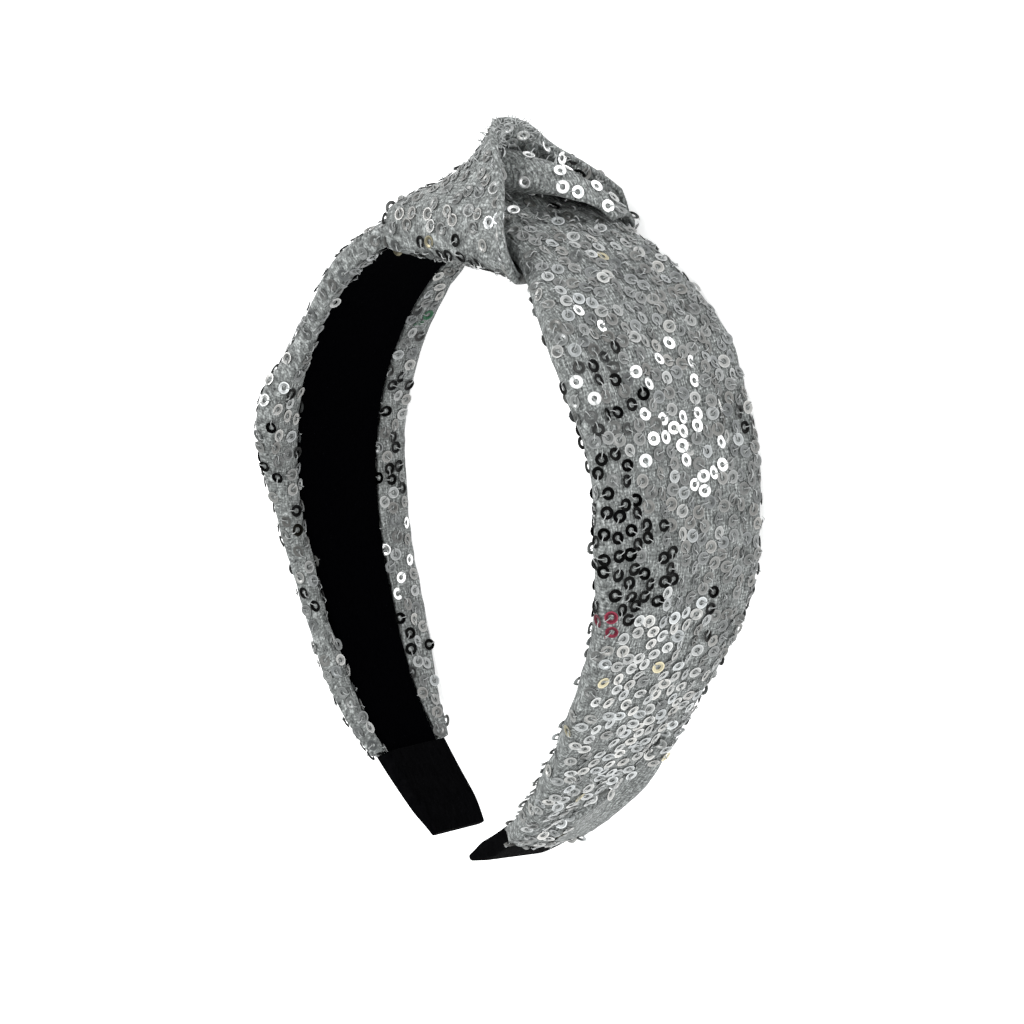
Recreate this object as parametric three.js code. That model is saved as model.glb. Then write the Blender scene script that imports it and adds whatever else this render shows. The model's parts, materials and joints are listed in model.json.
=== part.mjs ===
// A top knot headband, lying on its side with the front edge up.
// A stiff lined band is bent to an open arch in the XY plane, with the knot towards +Y.
// Each leg wears a hollow cover of sequin cloth, the covers meet in a knot, and the tips wear
// sleeves. A place on the band is given by along, from the middle of the knot and plus on the
// near leg; front, from the band's mid line to its front edge; and out, from its inner face.

import * as THREE from "three";

// Band, in millimetres and radians
const BAND_LENGTH = 375;
const BAND_THICKNESS = 1.6;
const BAND_EDGE = 0.5;
const LINING_WIDTH = 28;
const TIP_LEAN = 8.4;
const TIP_TWIST = 0.15;

// Sequin cloth on the legs
const COVER_CLOTH = 1.2;
const COVER_WIDTH = 48;
const COVER_HEIGHT = 7;
const COVER_EDGE_HEIGHT = 2.4;
const CROWN_ROUND = 0.75;
const EDGE_ROUND = 0.85;
const FLANGE_PUFF = 0.9;
const PLEAT_DEPTH = 1.2;
const PLEATS = 5;
const NEAR_TUCK = 1;
const FAR_TUCK = 17;

// Knot
const KNOT_CLOTH = 1.6;
const KNOT_LENGTH = 46;
const KNOT_WIDTH = 42;
const KNOT_HEIGHT = 21.5;
const FOLD_CLOTH = 1.3;

// Sleeves on the tips: how far they pass the arch's ends, and the seam that is pressed flat there
const SLEEVE_CLOTH = 1;
const SLEEVE_LENGTH = 21;
const SLEEVE_OVERHANG = 2;
const SEAM_LENGTH = 6;
const SEAM_PRESS = 0.4;

// Between pieces, and from the band's mid line down to the surface that it lies on
const GAP = 0.4;
const REST_DEPTH = 20.8;

// How sharply the band bends: its turn for each half length, straight between the rows
const BENDS = [
  { share: 0, bend: 5.0 },
  { share: 0.25, bend: 2.349 },
  { share: 0.5, bend: 3.382 },
  { share: 0.7, bend: 0.6 },
  { share: 0.85, bend: 2.179 },
  { share: 1, bend: 0.3 },
];

// How the band narrows, twists and leans towards its tips, as shares of the sizes above
const BAND_SHAPE = [
  { share: 0, width: 1.0, twist: 0, lean: 0 },
  { share: 0.3, width: 1.0, twist: 0.21, lean: -0.02 },
  { share: 0.5, width: 0.89, twist: 0.34, lean: 0.0 },
  { share: 0.6, width: 0.82, twist: 0.43, lean: 0.05 },
  { share: 0.7, width: 0.74, twist: 0.55, lean: 0.16 },
  { share: 0.85, width: 0.65, twist: 0.85, lean: 0.44 },
  { share: 1, width: 0.51, twist: 0.9, lean: 1 },
];

// Covers from the knot to the sleeve: front and back as shares of half the cover's width,
// crown of its height, pleat of the pleats' depth, and crease as a share of the crown
const NEAR_COVER = [
  { share: 0, front: 0.68, back: 0.66, crown: 0.66, pleat: 0.2, crease: 0 },
  { share: 0.09, front: 0.72, back: 0.67, crown: 0.82, pleat: 0.5, crease: 0 },
  { share: 0.16, front: 0.97, back: 0.8, crown: 0.98, pleat: 1, crease: 0 },
  { share: 0.23, front: 1.04, back: 0.93, crown: 1.06, pleat: 0.8, crease: 0 },
  { share: 0.34, front: 0.94, back: 0.9, crown: 0.93, pleat: 0.5, crease: 0 },
  { share: 0.45, front: 1.0, back: 0.84, crown: 1.0, pleat: 0.3, crease: 0 },
  { share: 0.56, front: 0.96, back: 0.74, crown: 0.96, pleat: 0.2, crease: 0 },
  { share: 0.66, front: 0.9, back: 0.58, crown: 0.9, pleat: 0.3, crease: 0.1 },
  { share: 0.72, front: 0.83, back: 0.56, crown: 0.88, pleat: 0.3, crease: 0.2 },
  { share: 0.8, front: 0.7, back: 0.58, crown: 0.86, pleat: 0.4, crease: 0.28 },
  { share: 0.88, front: 0.59, back: 0.56, crown: 0.84, pleat: 0.5, crease: 0.3 },
  { share: 0.96, front: 0.49, back: 0.5, crown: 0.74, pleat: 0.3, crease: 0.15 },
  { share: 1, front: 0.46, back: 0.46, crown: 0.62, pleat: 0, crease: 0 },
];
const FAR_COVER = [
  { share: 0, front: 0.67, back: 0.67, crown: 0.7, pleat: 0.2, crease: 0 },
  { share: 0.06, front: 0.68, back: 0.68, crown: 0.76, pleat: 0.4, crease: 0 },
  { share: 0.11, front: 0.78, back: 0.74, crown: 0.95, pleat: 0.7, crease: 0 },
  { share: 0.2, front: 0.8, back: 0.9, crown: 1.0, pleat: 0.9, crease: 0 },
  { share: 0.32, front: 0.68, back: 1.03, crown: 0.9, pleat: 0.5, crease: 0 },
  { share: 0.39, front: 0.77, back: 1.02, crown: 1.0, pleat: 0.3, crease: 0 },
  { share: 0.45, front: 0.97, back: 0.94, crown: 1.2, pleat: 0.2, crease: 0 },
  { share: 0.52, front: 0.88, back: 0.91, crown: 1.05, pleat: 0.2, crease: 0 },
  { share: 0.64, front: 0.7, back: 0.91, crown: 0.95, pleat: 0.3, crease: 0 },
  { share: 0.76, front: 0.62, back: 0.86, crown: 0.95, pleat: 0.4, crease: 0.1 },
  { share: 0.88, front: 0.58, back: 0.75, crown: 0.95, pleat: 0.5, crease: 0.15 },
  { share: 0.96, front: 0.5, back: 0.62, crown: 0.78, pleat: 0.3, crease: 0.05 },
  { share: 1, front: 0.46, back: 0.5, crown: 0.64, pleat: 0, crease: 0 },
];
const CREASE_PLACE = -0.35;
const CREASE_WIDTH = 0.14;

// The knot's wrap round the band, from below over the front, the top and the back: along as a
// share of the knot's length, front of half its width, and out of its height
const WRAP_END = [
  { along: -0.62, front: 0, out: -0.18 },
  { along: -0.62, front: 0.62, out: -0.18 },
  { along: -0.6, front: 0.9, out: -0.08 },
  { along: -0.56, front: 0.93, out: 0.15 },
  { along: -0.53, front: 0.82, out: 0.31 },
  { along: -0.54, front: 0.56, out: 0.37 },
  { along: -0.55, front: 0.3, out: 0.38 },
  { along: -0.56, front: 0.05, out: 0.37 },
  { along: -0.58, front: -0.3, out: 0.35 },
  { along: -0.59, front: -0.7, out: 0.34 },
  { along: -0.6, front: -0.95, out: 0.16 },
  { along: -0.61, front: -0.9, out: -0.08 },
  { along: -0.62, front: -0.58, out: -0.18 },
];
const WRAP_MOUTH = [
  { along: 0.26, front: 0, out: -0.16 },
  { along: 0.3, front: 0.68, out: -0.17 },
  { along: 0.33, front: 0.97, out: -0.03 },
  { along: 0.2, front: 1.0, out: 0.24 },
  { along: 0.07, front: 0.81, out: 0.56 },
  { along: -0.06, front: 0.6, out: 0.88 },
  { along: -0.12, front: 0.38, out: 1.0 },
  { along: -0.09, front: 0.14, out: 0.98 },
  { along: -0.06, front: -0.2, out: 0.73 },
  { along: -0.02, front: -0.63, out: 0.5 },
  { along: 0.06, front: -1.03, out: 0.2 },
  { along: 0.16, front: -1.02, out: -0.08 },
  { along: 0.22, front: -0.57, out: -0.18 },
];
const FLARE = 3;
const WRAP_SAG = 4;

// The knot's fold, from its rolled front edge over the top to the back, in the same shares:
// inside the wrap's mouth, half way, and where it lies on the near leg
const FOLD_IN = [
  { along: -0.1, front: 0.33, out: 0.3 },
  { along: -0.12, front: 0.53, out: 0.42 },
  { along: -0.13, front: 0.5, out: 0.6 },
  { along: -0.13, front: 0.34, out: 0.74 },
  { along: -0.12, front: 0.12, out: 0.67 },
  { along: -0.1, front: -0.18, out: 0.48 },
  { along: -0.04, front: -0.57, out: 0.33 },
  { along: 0.05, front: -0.87, out: 0.16 },
];
const FOLD_MID = [
  { along: 0.1, front: -0.14, out: 0.36 },
  { along: 0.09, front: 0.06, out: 0.41 },
  { along: 0.07, front: 0.09, out: 0.54 },
  { along: 0.05, front: -0.06, out: 0.63 },
  { along: 0.05, front: -0.26, out: 0.56 },
  { along: 0.06, front: -0.5, out: 0.4 },
  { along: 0.09, front: -0.75, out: 0.26 },
  { along: 0.12, front: -0.9, out: 0.07 },
];
const FOLD_ON = [
  { along: 0.24, front: -0.42, out: 0.34 },
  { along: 0.23, front: -0.52, out: 0.34 },
  { along: 0.22, front: -0.62, out: 0.32 },
  { along: 0.21, front: -0.72, out: 0.28 },
  { along: 0.2, front: -0.8, out: 0.23 },
  { along: 0.2, front: -0.85, out: 0.17 },
  { along: 0.2, front: -0.88, out: 0.1 },
  { along: 0.2, front: -0.88, out: 0.03 },
];

// How finely each piece is divided
const ARCH_STEPS = 750;
const BAND_STATIONS = 64;
const COVER_STATIONS = 27;
const COVER_CROWN_POINTS = 19;
const COVER_FLANGE_POINTS = 3;
const WRAP_STATIONS = 12;
const WRAP_POINTS = 40;
const FOLD_STATIONS = 9;
const FOLD_POINTS = 16;
const SLEEVE_STATIONS = 8;

const HALF_LENGTH = BAND_LENGTH / 2;
const SLEEVE_END = HALF_LENGTH + SLEEVE_OVERHANG;
const SLEEVE_START = SLEEVE_END - SLEEVE_LENGTH;
const POCKET_END = SLEEVE_END - SEAM_LENGTH;
const UP = new THREE.Vector3(0, 0, 1);

/** Reads a column of a table at a share, straight between its rows. */
function straight(rows, name, share) {
  const next = Math.max(rows.findIndex((row) => row.share >= share), 1);
  const [from, to] = [rows[next - 1], rows[next]];
  return THREE.MathUtils.mapLinear(share, from.share, to.share, from[name], to[name]);
}

/** Reads a column of a table at a share, on a smooth curve through its rows. */
function smooth(rows, name, share) {
  const next = Math.max(rows.findIndex((row) => row.share >= share), 1);
  const slope = (k) => {
    const from = rows[Math.max(k - 1, 0)];
    const to = rows[Math.min(k + 1, rows.length - 1)];
    return (to[name] - from[name]) / (to.share - from.share);
  };
  const [from, to] = [rows[next - 1], rows[next]];
  const span = to.share - from.share;
  const t = (share - from.share) / span;
  const fall = 2 * t ** 3 - 3 * t ** 2 + 1;
  const bend = span * (t ** 3 - 2 * t ** 2 + t) * slope(next - 1);
  const lift = span * (t ** 3 - t ** 2) * slope(next);
  return fall * from[name] + (1 - fall) * to[name] + bend + lift;
}

/** Traces one leg of the arch: its places and how far it has turned, from knot to tip. */
function traceArch() {
  const step = HALF_LENGTH / ARCH_STEPS;
  const trace = [{ x: 0, y: 0, turn: 0 }];
  for (let i = 0; i < ARCH_STEPS; i += 1) {
    const { x, y, turn } = trace[i];
    const bend = straight(BENDS, "bend", (i + 0.5) / ARCH_STEPS) / HALF_LENGTH;
    const middle = turn + (bend * step) / 2;
    trace.push({
      x: x + step * Math.cos(middle),
      y: y - step * Math.sin(middle),
      turn: turn + bend * step,
    });
  }
  return trace;
}

const ARCH = traceArch();

/** The arch's place and turn at a distance from the middle of the knot. */
function archAt(distance) {
  const steps = (distance / HALF_LENGTH) * ARCH_STEPS;
  const i = Math.min(Math.floor(steps), ARCH_STEPS - 1);
  const mix = (name) => THREE.MathUtils.lerp(ARCH[i][name], ARCH[i + 1][name], steps - i);
  return { x: mix("x"), y: mix("y"), turn: mix("turn") };
}

/** The point at a place on the band, no lower than the surface that the headband lies on. */
function place(along, front, out) {
  const side = along < 0 ? -1 : 1;
  const share = Math.min(Math.abs(along) / HALF_LENGTH, 1);
  const { x, y, turn } = archAt(Math.abs(along));
  const twist = TIP_TWIST * smooth(BAND_SHAPE, "twist", share);
  const outward = new THREE.Vector3(side * Math.sin(turn), Math.cos(turn), 0);
  const point = new THREE.Vector3(side * x, y, -TIP_LEAN * smooth(BAND_SHAPE, "lean", share));
  point.addScaledVector(UP, front * Math.cos(twist) + out * Math.sin(twist));
  point.addScaledVector(outward, out * Math.cos(twist) - front * Math.sin(twist));
  point.z = Math.max(point.z, -REST_DEPTH);
  return point;
}

/** Half the lining's width at a place along the band. */
function halfLining(along) {
  const share = Math.min(Math.abs(along) / HALF_LENGTH, 1);
  return (LINING_WIDTH / 2) * smooth(BAND_SHAPE, "width", share);
}

/** Gathers shared points and faces, and makes the closed geometry from them. */
class Skin {
  constructor() {
    this.points = [];
    this.faces = [];
  }

  /** Adds rows of points and returns their numbers in the same rows. */
  addRows(rows) {
    return rows.map((row) => row.map((point) => this.points.push(point) - 1));
  }

  addQuad(a, b, c, d) {
    this.faces.push(a, b, c, a, c, d);
  }

  /** Covers a grid whose rows run along the piece and whose points run across it. */
  addGrid(grid, isLoop, isInner) {
    for (let i = 0; i + 1 < grid.length; i += 1) {
      const count = grid[i].length;
      for (let j = 0; j < (isLoop ? count : count - 1); j += 1) {
        const k = (j + 1) % count;
        const quad = [grid[i][j], grid[i + 1][j], grid[i + 1][k], grid[i][k]];
        this.addQuad(...(isInner ? quad.reverse() : quad));
      }
    }
  }

  /** Joins two lines of points, such as the outer and inner edge of a wall. */
  addStrip(outer, inner, isLoop) {
    for (let j = 0; j < (isLoop ? outer.length : outer.length - 1); j += 1) {
      const k = (j + 1) % outer.length;
      this.addQuad(outer[k], outer[j], inner[j], inner[k]);
    }
  }

  /** Closes a loop of points round its middle. */
  addLid(loop, isStart) {
    const middle = new THREE.Vector3();
    loop.forEach((number) => middle.add(this.points[number]));
    const centre = this.points.push(middle.divideScalar(loop.length)) - 1;
    loop.forEach((number, j) => {
      const next = loop[(j + 1) % loop.length];
      this.faces.push(centre, ...(isStart ? [number, next] : [next, number]));
    });
  }

  geometry() {
    const geometry = new THREE.BufferGeometry().setFromPoints(this.points);
    geometry.setIndex(this.faces);
    geometry.computeVertexNormals();
    return geometry;
  }
}

/** Moves each point of a grid inwards by the wall's thickness. */
function insideOf(rows, thickness, isLoop) {
  const last = rows.length - 1;
  return rows.map((row, i) =>
    row.map((point, j) => {
      const count = row.length;
      const before = isLoop ? (j + count - 1) % count : Math.max(j - 1, 0);
      const after = isLoop ? (j + 1) % count : Math.min(j + 1, count - 1);
      const along = rows[Math.min(i + 1, last)][j].clone().sub(rows[Math.max(i - 1, 0)][j]);
      const across = row[after].clone().sub(row[before]);
      return point.clone().addScaledVector(along.cross(across).normalize(), -thickness);
    }),
  );
}

/** A wall of cloth under a grid of outer points, closed at its edges. */
function clothWall(rows, thickness, isLoop) {
  const skin = new Skin();
  const outer = skin.addRows(rows);
  const inner = skin.addRows(insideOf(rows, thickness, isLoop));
  const last = rows.length - 1;
  skin.addGrid(outer, isLoop, false);
  skin.addGrid(inner, isLoop, true);
  skin.addStrip(outer[last], inner[last], isLoop);
  skin.addStrip([...outer[0]].reverse(), [...inner[0]].reverse(), isLoop);
  if (!isLoop) {
    const edge = (grid, j) => grid.map((row) => row.at(j));
    skin.addStrip(edge(outer, 0), edge(inner, 0), false);
    skin.addStrip(edge(outer, -1).reverse(), edge(inner, -1).reverse(), false);
  }
  return skin.geometry();
}

/** Evenly spaced values from one end to the other, both among them. */
function steps(from, to, count) {
  return Array.from({ length: count }, (_, i) => from + ((to - from) * i) / (count - 1));
}

/** The band's section at a place: a bar with bevelled edges, grown by a margin, then pressed. */
function bandSection(along, margin, press) {
  const half = halfLining(along) + margin;
  const rise = (BAND_THICKNESS / 2 + margin) * press;
  const low = BAND_THICKNESS / 2 - rise;
  const high = BAND_THICKNESS / 2 + rise;
  const corners = [
    [half - BAND_EDGE, low],
    [half, low + BAND_EDGE],
    [half, high - BAND_EDGE],
    [half - BAND_EDGE, high],
    [BAND_EDGE - half, high],
    [-half, high - BAND_EDGE],
    [-half, low + BAND_EDGE],
    [BAND_EDGE - half, low],
  ];
  return corners.map(([front, out]) => place(along, front, out));
}

/** The stiff band with its black lining, from tip to tip inside the sleeves. */
function linedBand() {
  const reach = POCKET_END - GAP;
  const skin = new Skin();
  const loops = skin.addRows(
    steps(-reach, reach, BAND_STATIONS).map((along) => bandSection(along, 0, 1)),
  );
  skin.addGrid(loops, true, false);
  skin.addLid(loops[0], true);
  skin.addLid(loops.at(-1), false);
  return skin.geometry();
}

/** A black sleeve: a flat sock that the band's tip fits into, pressed flat past the tip. */
function tipSleeve(side) {
  const loopsTo = (end, margin) => {
    const places = steps(SLEEVE_START, end, SLEEVE_STATIONS);
    return places.map((along) => {
      const past = Math.max(along - POCKET_END, 0) / SEAM_LENGTH;
      return bandSection(side * along, margin, THREE.MathUtils.lerp(1, SEAM_PRESS, past));
    });
  };
  const outerRows = loopsTo(SLEEVE_END, GAP + SLEEVE_CLOTH);
  const innerRows = loopsTo(POCKET_END, GAP);
  const isNear = side > 0;
  const skin = new Skin();
  const outer = skin.addRows(outerRows);
  const inner = skin.addRows(innerRows);
  skin.addGrid(outer, true, !isNear);
  skin.addGrid(inner, true, isNear);
  skin.addLid(outer.at(-1), !isNear);
  skin.addLid(inner.at(-1), isNear);
  const rim = [outer[0], inner[0]];
  skin.addStrip(...(isNear ? rim.map((loop) => [...loop].reverse()) : rim), true);
  return skin.geometry();
}

/** A leg cover's outer section: out and round the front edge, over the crown, and back in. */
function coverSection(rows, side, share, along) {
  const value = (name) => smooth(rows, name, share);
  const front = (value("front") * COVER_WIDTH) / 2;
  const back = (value("back") * COVER_WIDTH) / 2;
  const crown = value("crown") * COVER_HEIGHT;
  const inset = halfLining(along) + GAP;
  const flange = (reach, t) => {
    const puff = FLANGE_PUFF * Math.sin(Math.PI * t);
    return [inset + (reach - inset) * Math.sin((t * Math.PI) / 2), -puff];
  };
  const overCrown = (angle) => {
    const across = Math.cos(angle);
    const width = across > 0 ? front : back;
    const rise = Math.sin(angle) ** CROWN_ROUND;
    const folds = 0.5 - 0.5 * Math.cos(2 * Math.PI * PLEATS * (angle / Math.PI));
    const crease = Math.exp(-(((across - CREASE_PLACE) / CREASE_WIDTH) ** 2));
    const dents = value("pleat") * PLEAT_DEPTH * folds + value("crease") * crown * crease;
    const out = COVER_EDGE_HEIGHT + (crown - COVER_EDGE_HEIGHT) * rise - dents * rise;
    return [width * Math.sign(across) * Math.abs(across) ** EDGE_ROUND, out];
  };
  const shares = steps(0, 1, COVER_FLANGE_POINTS + 1).slice(0, -1);
  const section = [
    ...shares.map((t) => flange(front, t)),
    ...steps(0, Math.PI, COVER_CROWN_POINTS).map(overCrown),
    ...shares.reverse().map((t) => flange(back, t)).map(([width, out]) => [-width, out]),
  ];
  return section.map(([reach, out]) => place(side * along, reach, out));
}

/** The hollow cover of one leg, from inside the knot to the sleeve. */
function legCover(rows, side, tuck) {
  const end = SLEEVE_START - GAP;
  const sections = steps(0, 1, COVER_STATIONS).map((share) =>
    coverSection(rows, side, share, THREE.MathUtils.lerp(tuck, end, share)),
  );
  return clothWall(side > 0 ? sections : sections.reverse(), COVER_CLOTH, false);
}

/** Even points along a smooth line through the rows of one of the knot's tables. */
function knotLine(rows, isLoop, count) {
  const places = rows.map(
    ({ along, front, out }) =>
      new THREE.Vector3(along * KNOT_LENGTH, (front * KNOT_WIDTH) / 2, out * KNOT_HEIGHT),
  );
  const curve = new THREE.CatmullRomCurve3(places, isLoop, "centripetal");
  const shares = isLoop ? steps(0, 1, count + 1).slice(0, -1) : steps(0, 1, count);
  return shares.map((share) => curve.getPoint(share));
}

/** The wrap: a loop of cloth round the band that flares from its narrow end to its mouth. */
function knotWrap() {
  const end = knotLine(WRAP_END, true, WRAP_POINTS);
  const mouth = knotLine(WRAP_MOUTH, true, WRAP_POINTS);
  const rows = steps(0, 1, WRAP_STATIONS).map((share) =>
    end.map((from, j) => {
      const flat = from.clone().lerp(mouth[j], share);
      const out = THREE.MathUtils.lerp(from.z, mouth[j].z, share ** FLARE);
      const low = THREE.MathUtils.clamp(1 - out / COVER_HEIGHT, 0, 1);
      return place(flat.x, flat.y, out - low * WRAP_SAG * Math.sin(Math.PI * share));
    }),
  );
  return clothWall(rows, KNOT_CLOTH, true);
}

/** The fold: the near leg's cloth, from the wrap's mouth down to the leg's back edge. */
function knotFold() {
  const lines = [FOLD_IN, FOLD_MID, FOLD_ON].map((rows) => knotLine(rows, false, FOLD_POINTS));
  const curves = lines[0].map(
    (_, j) => new THREE.CatmullRomCurve3(lines.map((line) => line[j]), false, "centripetal"),
  );
  const rows = steps(0, 1, FOLD_STATIONS).map((share) =>
    curves.map((curve) => {
      const { x, y, z } = curve.getPoint(share);
      return place(x, y, z);
    }),
  );
  return clothWall(rows, FOLD_CLOTH, false);
}

const sequinCloth = new THREE.MeshStandardMaterial({ color: 0xa9acad, roughness: 0.4, metalness: 0.5 });
const blackRibbon = new THREE.MeshStandardMaterial({ color: 0x0c0c0e, roughness: 0.9, metalness: 0 });
const blackCloth = new THREE.MeshStandardMaterial({ color: 0x141416, roughness: 0.85, metalness: 0 });

const pieces = [
  ["lined_band", linedBand(), blackRibbon],
  ["near_leg_cover", legCover(NEAR_COVER, 1, NEAR_TUCK), sequinCloth],
  ["far_leg_cover", legCover(FAR_COVER, -1, FAR_TUCK), sequinCloth],
  ["knot_wrap", knotWrap(), sequinCloth],
  ["knot_fold", knotFold(), sequinCloth],
  ["near_tip_sleeve", tipSleeve(1), blackCloth],
  ["far_tip_sleeve", tipSleeve(-1), blackCloth],
];

const headband = new THREE.Group();
for (const [name, geometry, material] of pieces) {
  const mesh = new THREE.Mesh(geometry, material);
  mesh.name = name;
  headband.add(mesh);
}

// The origin is under the middle of the whole headband, on the surface that it lies on.
const box = new THREE.Box3().setFromObject(headband);
const middle = box.getCenter(new THREE.Vector3());
headband.position.set(-middle.x, -middle.y, -box.min.z);

export default headband;
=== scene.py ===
"""A top knot headband in sequin cloth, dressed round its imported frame.

The frame's hollow cloth walls are refined into gathered knitted cloth. Ring sequins, their
stitches and loose fibres are spread over the cloth's outer side, and the stiff band gets its
velvet lining and the tips their plain black sleeves.
"""

from __future__ import annotations

import json
import logging
import math
import random
from dataclasses import dataclass
from enum import Enum

import bmesh
import bpy
import numpy as np
from mathutils import Matrix, Vector, noise
from mathutils.bvhtree import BVHTree
from mathutils.geometry import intersect_point_line

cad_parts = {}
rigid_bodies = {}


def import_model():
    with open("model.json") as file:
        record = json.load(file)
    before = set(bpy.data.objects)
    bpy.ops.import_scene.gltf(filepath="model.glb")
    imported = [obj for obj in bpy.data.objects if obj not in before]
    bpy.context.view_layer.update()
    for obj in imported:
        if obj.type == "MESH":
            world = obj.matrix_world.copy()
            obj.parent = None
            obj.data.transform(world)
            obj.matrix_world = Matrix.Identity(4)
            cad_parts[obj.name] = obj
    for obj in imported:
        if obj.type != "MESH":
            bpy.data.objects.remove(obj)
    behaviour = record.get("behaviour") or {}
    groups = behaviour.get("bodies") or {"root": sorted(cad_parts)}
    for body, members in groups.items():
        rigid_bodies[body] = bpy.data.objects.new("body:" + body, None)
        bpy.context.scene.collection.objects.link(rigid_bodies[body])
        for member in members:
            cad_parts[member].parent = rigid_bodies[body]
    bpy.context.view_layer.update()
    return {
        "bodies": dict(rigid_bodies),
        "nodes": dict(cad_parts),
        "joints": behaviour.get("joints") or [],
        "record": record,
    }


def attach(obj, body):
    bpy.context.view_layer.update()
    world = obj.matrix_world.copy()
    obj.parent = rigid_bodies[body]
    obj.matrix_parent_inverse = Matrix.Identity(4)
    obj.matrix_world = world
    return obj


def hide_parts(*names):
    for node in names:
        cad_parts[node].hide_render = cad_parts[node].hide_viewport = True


LOG = logging.getLogger("top_knot_headband")
MM = 0.001
ARCH_RADIUS_MM = 60.0
NET_MM = 1.5
NET_DRIFT_MM = 1.6
STRAND_SHARE = 0.6
WELD_MM = 0.002
SHARP_EDGE = math.radians(60)
PLAIN_TINT = (1.0, 1.0, 1.0)
EAST = Vector((1.0, 0.0, 0.0))
BODY = "root"
Material = bpy.types.Material
Piece = bpy.types.Object


class Slot(Enum):
    """The record's material slots."""

    LINING = "black_lining"
    CLOTH = "sequin_cloth"
    SLEEVE = "black_sleeve"


class PaintedReflection(Enum):
    """How bright a patch of sequins is, as the lowest and highest linear tone: the film's own
    grey with painted reflection, darker or brighter where the metal would mirror dark or bright
    surroundings.
    """

    BLACK = (0.001, 0.006)
    SMOKE = (0.03, 0.12)
    HAZE = (0.13, 0.2)
    GREY = (0.12, 0.36)
    SILVER = (0.32, 0.48)
    WHITE = (0.9, 1.3)


def socket(group: bpy.types.NodeTree, name: str, in_out: str, kind: str, value: float) -> None:
    """Adds a named socket to a node group.

    Args:
        group: The node group.
        name: The socket's name.
        in_out: INPUT or OUTPUT.
        kind: The socket's type.
        value: Its default, kept by an input.
    """
    made = group.interface.new_socket(name=name, in_out=in_out, socket_type=kind)
    if in_out == "INPUT" and kind == "NodeSocketFloat":
        made.default_value = value


class Graph:
    """A small builder of shader nodes, for a material or a node group."""

    def __init__(self, tree: bpy.types.NodeTree) -> None:
        """Keeps the tree that the nodes are added to."""
        self.tree = tree

    def node(self, kind: str, **settings: object) -> bpy.types.Node:
        """Adds a node.

        Args:
            kind: The node's type.
            **settings: Its properties.

        Returns:
            The node.
        """
        made = self.tree.nodes.new(kind)
        for name, value in settings.items():
            setattr(made, name, value)
        return made

    def link(self, source: bpy.types.NodeSocket, target: bpy.types.NodeSocket) -> None:
        """Links two sockets."""
        self.tree.links.new(source, target)

    def math(self, operation: str, first: object, second: object) -> bpy.types.NodeSocket:
        """Adds a sum, product or other operation on two values.

        Args:
            operation: The operation's name.
            first: A socket or a number.
            second: A socket or a number.

        Returns:
            The result's socket.
        """
        made = self.node("ShaderNodeMath", operation=operation)
        for place, value in enumerate((first, second)):
            if isinstance(value, bpy.types.NodeSocket):
                self.link(value, made.inputs[place])
            else:
                made.inputs[place].default_value = value
        return made.outputs[0]

    def ramp(self, value: bpy.types.NodeSocket, stops: list[tuple]) -> bpy.types.NodeSocket:
        """Turns a value into a colour.

        Args:
            value: The value from 0 to 1.
            stops: Places with their linear colours.

        Returns:
            The colour's socket.
        """
        made = self.node("ShaderNodeValToRGB")
        steps = made.color_ramp.elements
        while len(steps) < len(stops):
            steps.new(1.0)
        for step, (place, colour) in zip(steps, stops):
            step.position = place
            step.color = (*colour, 1.0)
        self.link(value, made.inputs["Fac"])
        return made.outputs["Color"]


def strand_group() -> bpy.types.NodeTree:
    """A group of fine strands that run round the band, with gaps between them.

    Returns:
        The group, with Strand and Fleck outputs.
    """
    group = bpy.data.node_groups.new("fine_strands", "ShaderNodeTree")
    socket(group, "Strand Scale", "INPUT", "NodeSocketFloat", 1.0)
    socket(group, "Fleck Scale", "INPUT", "NodeSocketFloat", 1.0)
    socket(group, "Strand", "OUTPUT", "NodeSocketFloat", 0.0)
    socket(group, "Fleck", "OUTPUT", "NodeSocketFloat", 0.0)
    socket(group, "Net", "OUTPUT", "NodeSocketFloat", 0.0)
    graph = Graph(group)
    inside = graph.node("NodeGroupInput")
    outside = graph.node("NodeGroupOutput")
    place = graph.node("ShaderNodeTexCoord").outputs["Object"]
    stretch = graph.node("ShaderNodeMapping")
    stretch.inputs["Scale"].default_value = (0.22, 0.22, 1.0)
    graph.link(place, stretch.inputs["Vector"])
    strands = graph.node("ShaderNodeTexNoise")
    strands.inputs["Detail"].default_value = 3.0
    strands.inputs["Distortion"].default_value = 0.6
    graph.link(stretch.outputs[0], strands.inputs["Vector"])
    graph.link(inside.outputs["Strand Scale"], strands.inputs["Scale"])
    flecks = graph.node("ShaderNodeTexNoise")
    flecks.inputs["Detail"].default_value = 2.0
    graph.link(place, flecks.inputs["Vector"])
    graph.link(inside.outputs["Fleck Scale"], flecks.inputs["Scale"])
    graph.link(strands.outputs["Fac"], outside.inputs["Strand"])
    graph.link(flecks.outputs["Fac"], outside.inputs["Fleck"])
    graph.link(net_height(graph, place), outside.inputs["Net"])
    return group


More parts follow.
